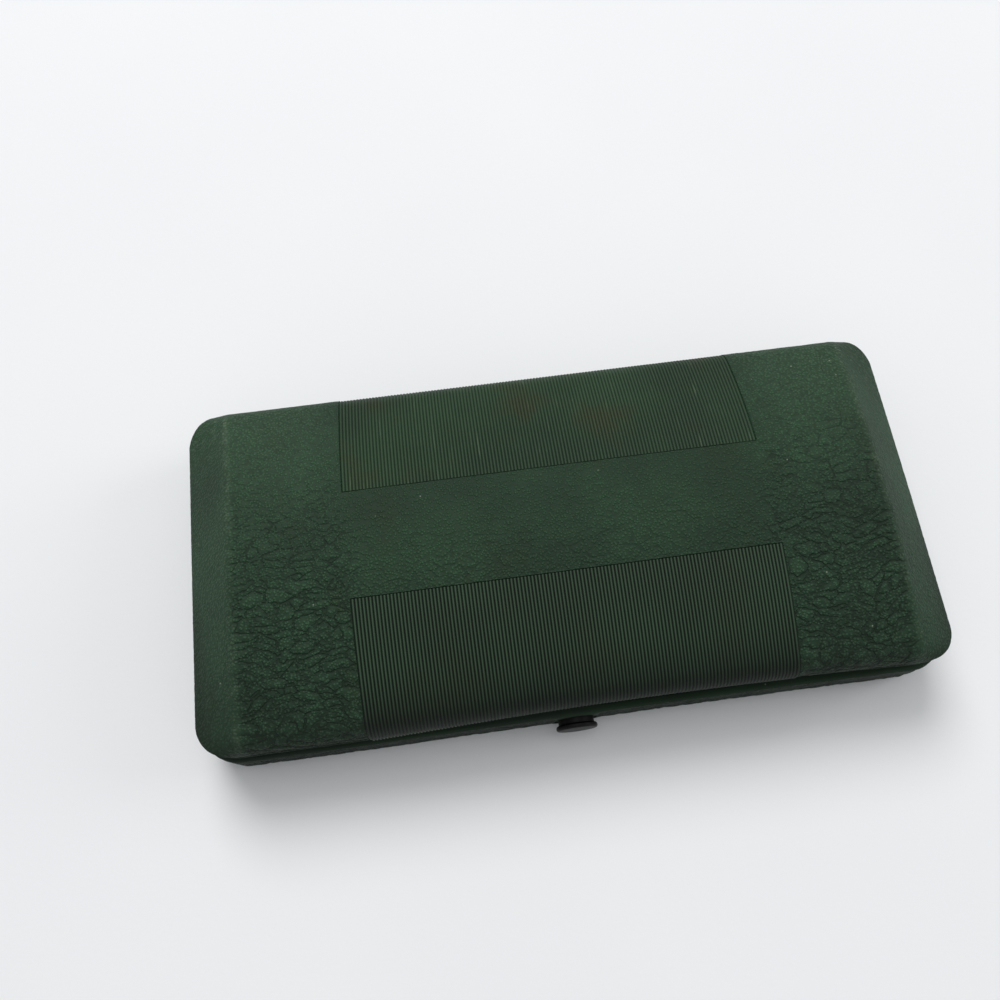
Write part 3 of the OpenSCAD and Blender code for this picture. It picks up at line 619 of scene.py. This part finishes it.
def roundedOutline(halfL, halfW, r, sideStep, cornerSteps):
    # plan points with their outward directions and how far each may move in, counter-clockwise
    points = []
    for k, (sx, sy) in enumerate(((1, 1), (-1, 1), (-1, -1), (1, -1))):
        for i in range(cornerSteps + 1):
            a = math.radians(90 * k + 90 * i / cornerSteps)
            out = Vector((math.cos(a), math.sin(a), 0))
            points.append((Vector((sx * (halfL - r), sy * (halfW - r), 0)) + out * r, out, r))
        a = math.radians(90 * (k + 1))
        out = Vector((math.cos(a), math.sin(a), 0))
        span = 2 * (halfL - r) if k % 2 == 0 else 2 * (halfW - r)
        along = Vector((-out.y, out.x, 0))
        count = round(span / sideStep)
        start = points[-1][0]
        points += [(start + along * span * i / count, out, 1e9) for i in range(1, count)]
    return points


def quarterRound(radius, angles):
    # what is missing from a corner across and along it, at each angle
    return [(radius * (1 - math.sin(a)), radius * (1 - math.cos(a))) for a in map(math.radians, angles)]


def baseMasks(r, x, y, z):
    grain = r.attribute("grain")
    clear = r.steps(abs(x - button["x"]), 4.9, 5.8).atLeast(r.steps(y, -30, -20))
    top = base["height"]
    band = r.steps(z, 0.2, 2.5) * r.steps(z, top - 0.2, top - 1.3)
    rough = r.noise(r.stretched(1, 1, 1), 0.6, 3.0, 0.7)
    edge = r.steps(z, top - 1.3, top - 0.5) * r.steps(z, top + 0.1, top - 0.2)
    wear = grain * edge * r.steps(rough, 0.5, 0.7) * 0.5
    return grain * band * clear * 0.9, grain * clear, wear


def makeBaseShell(finish):
    size, height, wall, floor = base, base["height"], base["wall"], base["floor"]
    points = roundedOutline(size["halfL"], size["halfW"], size["cornerR"], 0.5, 26)
    bm, layers = mouldingMesh()
    station, grain = layers["station"], layers["grain"]
    ringVerts = bmesh.ops.create_circle(bm, cap_ends=True, segments=len(points), radius=50)["verts"]
    ordered = sorted(ringVerts, key=lambda v: math.atan2(v.co.y, v.co.x) % (2 * math.pi))

    def lay(verts, inset, z):
        for vert in verts:
            point, out, r = points[vert[station]]
            vert.co = point - out * min(inset, r - 0.5)
            vert.co.z = z

    for i, vert in enumerate(ordered):
        vert[station] = i
    lay(ordered, size["footR"] + 1.2, 0.25)
    rim = [e for e in bm.edges]
    outside = []
    profile = [(size["footR"] + 0.5, 0.0)]
    profile += quarterRound(size["footR"], range(0, 90, 10))
    straight = height - size["rimR"] - size["footR"]
    profile += [(0.0, size["footR"] + straight * i / 18) for i in range(19)]
    profile += [(inset, height - down) for down, inset in quarterRound(size["rimR"], (20, 40, 60, 80, 90))]
    for inset, z in profile:
        rim, verts = pullRing(bm, rim)
        lay(verts, inset, z)
        outside += verts
    for vert in outside:
        vert[grain] = smooth(height - 0.05, height - 0.6, vert.co.z) * smooth(0.1, 0.8, vert.co.z)
        vert.co.y += frontSink(vert.co.x, vert.co.y, size["sink"])
    # rim, cavity wall and cavity floor
    for inset, z in ((wall - 0.15, height), (wall, height - 0.15), (wall, floor + 0.6),
                     (wall + 0.2, floor + 0.17), (wall + 0.6, floor)):
        rim, verts = pullRing(bm, rim)
        lay(verts, inset, z)
        for vert in verts:
            vert[grain] = 0.0
    bmesh.ops.contextual_create(bm, geom=rim)
    bmesh.ops.recalc_face_normals(bm, faces=bm.faces)
    piece = newPiece(bm, "baseShell", "base", finish)
    pressLeather(piece, baseMasks)
    # pockets for the hinges, the button's recess and its hole
    cutter = bmesh.new()
    for side in (-1, 1):
        x = side * hinge["x"]
        addBox(cutter, (x - hinge["notchHalf"], 40.0, hinge["pocketZ"]), (x + hinge["notchHalf"], 44.4, 14))
        addRod(cutter, (x, hinge["pinY"], hinge["pinZ"]), (1, 0, 0), hinge["clearR"], 2 * hinge["notchHalf"])
    holeR, recessR = button["neckR"] + button["neckPlay"], button["headR"] + button["headPlay"]
    addRod(cutter, (button["x"], button["holeY"], button["z"]), (0, 1, 0), holeR, 5.0, 96)
    addRod(cutter, (button["x"], button["recess"] - 1, button["z"]), (0, 1, 0), recessR, 2.0, 96)
    carve(piece, cutter)
    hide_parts("base_shell")


button = {
    "x": -1.3, "z": 7.0, "headR": 5.0, "headT": 1.3, "edge": 0.55, "neckR": 4.3,
    "back": -44.35, "neckEnd": -41.4,  # y of the head's back and of the neck's end
    "recess": -42.8, "headPlay": 0.35, "holeY": -42.2, "neckPlay": 0.06,  # what the base leaves for it
}


def makeButton(finish):
    size = button
    headR, neckR, back, neckEnd = size["headR"], size["neckR"], size["back"], size["neckEnd"]
    front, bend = back - size["headT"], size["edge"]
    # half section from the middle of the front face round to the end of the neck
    section = [(0.0, front), (0.5 * headR, front + 0.03), (headR - bend - 0.4, front + 0.06)]
    section += [(headR - inset, front + 0.1 + down) for inset, down in quarterRound(bend, range(0, 91, 15))]
    section += [(headR, back - 0.3), (headR - 0.25, back), (neckR + 0.15, back), (neckR, back + 0.15),
                (neckR, neckEnd - 0.2), (neckR - 0.2, neckEnd), (0.0, neckEnd)]
    bm = bmesh.new()
    verts = [bm.verts.new((size["x"] + r, y, size["z"])) for r, y in section]
    edges = [bm.edges.new(pair) for pair in zip(verts, verts[1:])]
    bmesh.ops.spin(bm, geom=verts + edges, cent=(size["x"], 0, size["z"]), axis=(0, 1, 0), dvec=(0, 0, 0),
                   angle=2 * math.pi, steps=96, use_merge=True)
    bmesh.ops.remove_doubles(bm, verts=bm.verts, dist=1e-4)
    bmesh.ops.recalc_face_normals(bm, faces=bm.faces)
    piece = newPiece(bm, "pushButton", "button", finish)
    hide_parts("push_button")


catch = {
    "bossR": 2.4, "bossTop": 4.0, "bossX": (-3.9, 1.3), "bossY": -32.6,
    "bendFrom": 4.9, "bendTo": 8.6, "bendCuts": 12, "bendAt": (-0.0013, -0.0372),  # bendAt in metres
}


def makeCatch(shellFinish, steelFinish):
    # bosses on the floor under the foot of the spring
    bm = mouldingMesh()[0]
    low, high = base["floor"], catch["bossTop"]
    for x in catch["bossX"]:
        centre = (x, catch["bossY"], (high + low) / 2 - 0.05)
        made = addRod(bm, centre, (0, 0, 1), catch["bossR"], high - low + 0.1)
        top = [e for e in bm.edges if all(v in made and v.co.z > 3.5 for v in e.verts)]
        bmesh.ops.bevel(bm, geom=top, offset=0.2, segments=3, profile=0.5, affect="EDGES", material=-1)
    newPiece(bm, "springBosses", "base", shellFinish)
    # the spring strip is sliced across between bendFrom and bendTo, where the real strip bends from its foot
    # when the button goes in
    bm = bmesh.new()
    bm.from_mesh(frame["nodes"]["latch_strip"].data)
    bmesh.ops.scale(bm, vec=(1000, 1000, 1000), verts=bm.verts)
    bmesh.ops.remove_doubles(bm, verts=bm.verts, dist=1e-4)
    low, high, last = catch["bendFrom"], catch["bendTo"], catch["bendCuts"] - 1
    for k in range(last + 1):
        bmesh.ops.bisect_plane(bm, geom=bm.verts[:] + bm.edges[:] + bm.faces[:], dist=1e-5,
                               plane_co=(0, 0, low + (high - low) * k / last), plane_no=(0, 0, 1))
    strip = newPiece(bm, "latchStrip", None, steelFinish)
    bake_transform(strip)
    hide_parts("latch_strip")


felt = {
    "pads": {  # left front and right rear corners
        "rearLeftFelt": ((-81.0, 9.8), (14.7, 34.7)), "rearRightFelt": ((21.3, 9.8), (81.0, 34.7)),
        "frontLeftFelt": ((-81.0, -34.7), (-35.3, 3.2)), "middleFelt": ((-28.7, -25.4), (26.7, 3.2)),
    },
    "mesh": 1.1,
    "low": 3.4, "high": 4.2, "cornerR": 1.6,
    "liningHalfL": 73.4, "liningR": 97.74, "liningTurn": 0.3634, "liningT": 0.46,
}


def makeFeltPads(finish):
    r = felt["cornerR"]
    for name, (low, high) in felt["pads"].items():
        size = (high[0] - low[0], high[1] - low[1])
        centre = ((low[0] + high[0]) / 2, (low[1] + high[1]) / 2)
        bm = bmesh.new()
        across, along = (round(s / felt["mesh"]) for s in size)
        made = bmesh.ops.create_grid(bm, x_segments=across, y_segments=along, size=0.5)["verts"]
        for vert in made:
            u, v = vert.co.x * size[0], vert.co.y * size[1]
            # pull the corners round
            cu, cv = size[0] / 2 - r, size[1] / 2 - r
            if abs(u) > cu and abs(v) > cv:
                reach = max(abs(u) - cu, abs(v) - cv)
                turn = math.atan2(abs(v) - cv, abs(u) - cu)
                u = math.copysign(cu + reach * math.cos(turn), u)
                v = math.copysign(cv + reach * math.sin(turn), v)
            x, y = centre[0] + u, centre[1] + v
            edge = min(size[0] / 2 - abs(u), size[1] / 2 - abs(v))
            uneven = 0.05 * noise.noise((x / 9, y / 9, 1.5)) + 0.03 * noise.noise((x / 2.2, y / 2.2, 4.5))
            vert.co = (x, y, felt["high"] - 0.09 + uneven - 0.18 * smooth(0.9, 0.0, edge))
        rim = [e for e in bm.edges if e.is_boundary]
        rim, verts = pullRing(bm, rim)
        for vert in verts:
            vert.co.z = felt["low"] + 0.01
        bmesh.ops.contextual_create(bm, geom=rim)
        bmesh.ops.recalc_face_normals(bm, faces=bm.faces)
        piece = newPiece(bm, name, "base", finish, sharpAngle=50)
        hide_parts("tray_felt_pads")
        size[0] * 0.001
        size[1] * 0.001


def makeLining(finish):
    half, turn, r = felt["liningHalfL"], felt["liningTurn"], felt["liningR"] - felt["liningT"]
    bm = bmesh.new()
    made = bmesh.ops.create_grid(bm, x_segments=110, y_segments=54, size=1)["verts"]
    for vert in made:
        u, v = vert.co.x, vert.co.y
        edge = min((1 - abs(u)) * half, (1 - abs(v)) * turn * r)
        ragged = 0.25 * noise.noise((u * 9, v * 5, 2.0)) if edge < 0.01 else 0.0
        fall = 0.05 * noise.noise((u * 12, v * 6, 7.0)) - 0.15 * smooth(0.8, 0.0, edge)
        reach = r + 0.05 - min(fall, 0.04)
        angle = v * (turn - 0.004) + ragged * 0.006
        x, y, z = u * (half - 0.3) + ragged, reach * math.sin(angle), reach * math.cos(angle)
        vert.co = (x, y, lid["centreZ"] + z)
    bmesh.ops.reverse_faces(bm, faces=bm.faces)
    bmesh.ops.solidify(bm, geom=bm.faces, thickness=felt["liningT"] - 0.12)
    bmesh.ops.recalc_face_normals(bm, faces=bm.faces)
    piece = newPiece(bm, "lidLining", "lid", finish, sharpAngle=50)
    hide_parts("lid_lining")
    2 * turn * r * 0.001
    2 * half * 0.001


# the finish of the green moulding: pressed leather, painted shade in the creases, rubbed ridges
def shellFinish():
    f = Finish("greenMoulding")
    grain, depth, wear = (f.attribute(n) for n in ("grain", "depth", "wear"))
    p = f.stretched(1, 1, 1)
    x, y, z = f.axes(p)
    deep, fold, fine = creasesAt(f, 0.1)
    tops = 1 - f.steps(f.cells(p, 1 / leather["pebble"]), 0.12, 0.62)
    sand = f.noise(p, 3.4, 2.0, 0.6)
    bevel = f.steps(abs(x), 74.8, 78.0)
    grainShare = grain * (1 - 0.25 * bevel)
    broad = f.steps(f.noise(p, 0.035, 3.0, 0.55), 0.35, 0.65)
    patch = f.steps(f.noise(f.stretched(1, 0.6, 1), 0.09, 3.0, 0.6), 0.55, 0.75)
    plain = f.mixed(broad, rgb(37, 60, 41), rgb(44, 72, 49))
    creased = f.mixed(broad, rgb(43, 68, 48), rgb(51, 80, 57))
    colour = f.mixed(depth, plain, creased)
    colour = f.mixed(patch * 0.4, colour, rgb(42, 54, 34))
    # painted light: the back of both ends, off the bevels, is lightened towards pale green
    endLight = f.steps(abs(x), 45, 60) * f.steps(y, -10, 40) * (1 - bevel)
    colour = f.mixed(endLight * 0.45, colour, rgb(68, 98, 72))
    # painted shade: the creases and the hollows between the pebble tops are darkened towards near-black
    creaseShade = depth * (0.5 * deep + 0.2 * fold + 0.25 * fine) + grainShare * (0.62 + 0.1 * depth) * (1 - tops)
    creaseShade = creaseShade.atMost(1.0)
    colour = f.mixed(creaseShade * 0.75, colour, rgb(7, 13, 9))
    # painted shade: everything low at the front, the lid's front skirt and the base's front, is darkened
    # towards near-black
    low = f.steps(z, 28, 17) * f.steps(y, 0, -20)
    colour = f.mixed(low * 0.68, colour, rgb(9, 13, 10))
    rubbed = f.steps(f.noise(p, 1.6, 3.0, 0.7), 0.42, 0.7)
    worn = (wear * (0.3 + 0.7 * rubbed) * (0.45 + 0.55 * tops)).atMost(1.0)
    colour = f.mixed(worn * 0.7, colour, rgb(104, 120, 100))
    specks = 1 - f.steps(f.cells(p, 0.16), 0.02, 0.045)
    colour = f.mixed(specks * 0.5, colour, rgb(150, 158, 140))
    f.feed("Base Color", colour)
    f.feed("Roughness", 0.5 + 0.16 * sand + 0.1 * creaseShade - 0.06 * worn)
    raised = grainShare * tops * leather["grainHeight"] + sand * 0.02
    sunk = leather["creaseDepth"] * deep + 0.6 * leather["foldDepth"] * fold + leather["fineDepth"] * fine
    f.feed("Normal", f.bump(raised - depth * sunk))
    f.shader.inputs["Specular IOR Level"].default_value = 0.15
    return f


def ribFinish():
    f = Finish("ribbedMoulding")
    crease, wear = f.attribute("crease"), f.attribute("wear")
    p = f.stretched(1, 1, 1)
    y, z = f.axes(p)[1:]
    streak = f.noise(f.stretched(1.25, 0.09, 0.09), 1.0, 3.0, 0.6)
    fine = f.noise(p, 3.0, 2.0, 0.6)
    back = f.steps(y, -5, 15)
    patch = f.steps(f.noise(p, 0.04, 3.0, 0.55), 0.35, 0.65)
    frontGreen = f.mixed(patch, rgb(32, 49, 34), rgb(38, 59, 41))
    colour = f.mixed(back, frontGreen, f.mixed(patch, rgb(31, 50, 33), rgb(37, 60, 39)))
    # painted highlight: the rib crests are lightened towards pale green, less at the back
    colour = f.mixed(f.steps(crease, 0.4, 0.0) * 0.55 * (1 - 0.7 * back), colour, rgb(66, 88, 66))
    brown = f.steps(f.noise(p, 0.05, 4.0, 0.6), 0.5, 0.68) * (0.35 + 0.65 * back)
    colour = f.mixed(brown * 0.6, colour, rgb(50, 52, 32))
    # painted shade: the front panel is darkened towards its lower edge, except on the worn rib ends
    low = f.steps(z, 30.5, 24) * (1 - back) * (1 - wear)
    colour = f.mixed(low * 0.72, colour, rgb(10, 14, 10))
    scuff = f.steps(streak, 0.6, 0.8) * (0.15 + 0.85 * back) * (1 - crease)
    colour = f.mixed(scuff * 0.45, colour, rgb(92, 108, 84))
    colour = f.mixed(wear * (0.4 + 0.6 * f.steps(fine, 0.4, 0.65)) * 0.75, colour, rgb(120, 125, 118))
    # grime and painted shade: the grooves between the ribs are darkened almost to black, less at the back
    colour = f.mixed(f.steps(crease, 0.1, 0.6) * (1 - 0.55 * back), colour, rgb(2, 5, 3))
    f.feed("Base Color", colour)
    f.feed("Roughness", 0.48 + 0.2 * fine)
    f.feed("Normal", f.bump(fine * 0.03))
    f.shader.inputs["Specular IOR Level"].default_value = 0.15
    return f


def plainFinish(name, colour, second, roughness, grainScale=2.0, metallic=0.0, bumpDepth=0.02,
                specular=0.5):
    f = Finish(name, Metallic=metallic)
    p = f.stretched(1, 1, 1)
    broad = f.noise(p, 0.08, 3.0, 0.6)
    fine = f.noise(p, grainScale, 3.0, 0.6)
    f.feed("Base Color", f.mixed(f.steps(broad, 0.3, 0.7), colour, second))
    f.feed("Roughness", roughness - 0.08 + 0.16 * fine)
    f.feed("Normal", f.bump(fine * bumpDepth))
    f.shader.inputs["Specular IOR Level"].default_value = specular
    return f


shell = shellFinish()
ribbed = ribFinish()
trayPlastic = plainFinish("trayPlastic", rgb(176, 166, 138), rgb(160, 150, 122), 0.45)
tinned = plainFinish("tinnedSheet", rgb(178, 178, 174), rgb(160, 160, 158), 0.32, 1.2, 1.0)
feltFinish = plainFinish("pressedFelt", rgb(48, 78, 54), rgb(40, 68, 47), 0.95, 3.0, 0.0, 0.15, 0.2)
nickel = plainFinish("dullNickel", rgb(184, 180, 170), rgb(164, 160, 150), 0.34, 2.0, 1.0)
bright = plainFinish("brightSteel", rgb(200, 200, 198), rgb(186, 186, 184), 0.22, 2.0, 1.0)
blued = plainFinish("bluedSpring", rgb(88, 96, 118), rgb(74, 80, 96), 0.3, 2.0, 1.0)
gloss = plainFinish("glossBlack", rgb(13, 12, 10), rgb(9, 9, 8), 0.42, 2.0, 0.0, 0.01, 0.12)
print("finishes made")

nodeFinish = {
    "shell": shell, "tray": trayPlastic, "tin": tinned, "felt": feltFinish, "hinge_steel": nickel,
    "pin_steel": bright, "rivet": nickel, "spring_steel": blued, "button": gloss,
}
for part in frame["record"]["subparts"]:
    for slot in frame["nodes"][part["node"]].material_slots:
        slot.material = nodeFinish[part["material_slot"]].material

makeLidShell(shell)
print("lid shell made")
makeRibs("rearRibs", 1, ribbed)
makeRibs("frontRibs", -1, ribbed)
print("ribs made")
makeBaseShell(shell)
print("base shell made")
makeButton(gloss)
makeCatch(shell, blued)
print("button and catch made")
makeFeltPads(feltFinish)
makeLining(feltFinish)
print("felt made")


view = {
    "yaw": -0.1282, "elevation": 1.2214, "roll": -0.0055,  # radians
    "target": (-11.629, 17.899, 0), "distance": 249.84,    # millimetres
    "focal": 920.87, "frame": 1000,                        # pixels
}


def makeCamera():
    yaw, el, roll = view["yaw"], view["elevation"], view["roll"]
    back = Vector((math.sin(yaw) * math.cos(el), -math.cos(yaw) * math.cos(el), math.sin(el)))
    right = Vector((0, 0, 1)).cross(back).normalized()
    up = back.cross(right)
    right, up = (right * math.cos(roll) + up * math.sin(roll),
                 up * math.cos(roll) - right * math.sin(roll))
    data = bpy.data.cameras.new("camera")
    data.sensor_width = 36
    data.lens = view["focal"] * data.sensor_width / view["frame"]
    data.clip_start = 0.01
    camera = bpy.data.objects.new("camera", data)
    bpy.context.scene.collection.objects.link(camera)
    place = Vector(view["target"]) * 0.001 + back * view["distance"] * 0.001
    camera.matrix_world = Matrix.Translation(place) @ Matrix((right, up, back)).transposed().to_4x4()
    bpy.context.scene.camera = camera


light = {
    "world": 0.4, "seen": 0.7, "sky": (0.96, 0.98, 1.0, 1),
    "lamps": [  # name, place in metres, size, power
        ("window", (-0.3, 1.35, 1.75), 1.3, 31.0),
        ("side", (1.7, 0.2, 0.9), 0.9, 7.0),
        ("ceiling", (0.0, 0.2, 2.2), 1.6, 8.0),
    ],
}


def makeLamp(name, place, size, power):
    data = bpy.data.lights.new(name, "AREA")
    data.shape = "DISK"
    data.size = size
    data.energy = power
    lamp = bpy.data.objects.new(name, data)
    bpy.context.scene.collection.objects.link(lamp)
    turn = Vector(place).to_track_quat("Z", "Y").to_matrix().to_4x4()
    lamp.matrix_world = Matrix.Translation(place) @ turn


def makeStage():
    bm = bmesh.new()
    bmesh.ops.create_grid(bm, x_segments=2, y_segments=2, size=3000)
    f = Finish("paleTable", Roughness=0.75)
    p = f.stretched(1, 1, 1)
    f.feed("Base Color", f.mixed(f.noise(p, 0.01, 2.0, 0.5), rgb(228, 229, 231), rgb(233, 234, 235)))
    f.feed("Normal", f.bump(f.noise(p, 0.8, 3.0, 0.6) * 0.03))
    f.shader.inputs["Specular IOR Level"].default_value = 0.2
    floor = newPiece(bm, "table", None, f)
    floor.location.z = -0.0001
    world = bpy.data.worlds.new("room")
    bpy.context.scene.world = world
    world.use_nodes = True
    room = Graph()
    room.tree = world.node_tree
    rays = room.add("ShaderNodeLightPath")
    outputs = rays.socket.node.outputs
    camera, glossy, clear = (Wire(room, outputs["Is " + ray + " Ray"])
                             for ray in ("Camera", "Glossy", "Transmission"))
    strength = light["world"] + (light["seen"] - light["world"]) * camera.atLeast(glossy).atLeast(clear)
    background = world.node_tree.nodes["Background"]
    background.inputs["Color"].default_value = light["sky"]
    world.node_tree.links.new(strength.socket, background.inputs["Strength"])
    for lamp in light["lamps"]:
        makeLamp(*lamp)


makeCamera()
makeStage()
bpy.context.scene.view_settings.view_transform = "Standard"
print("scene ready")
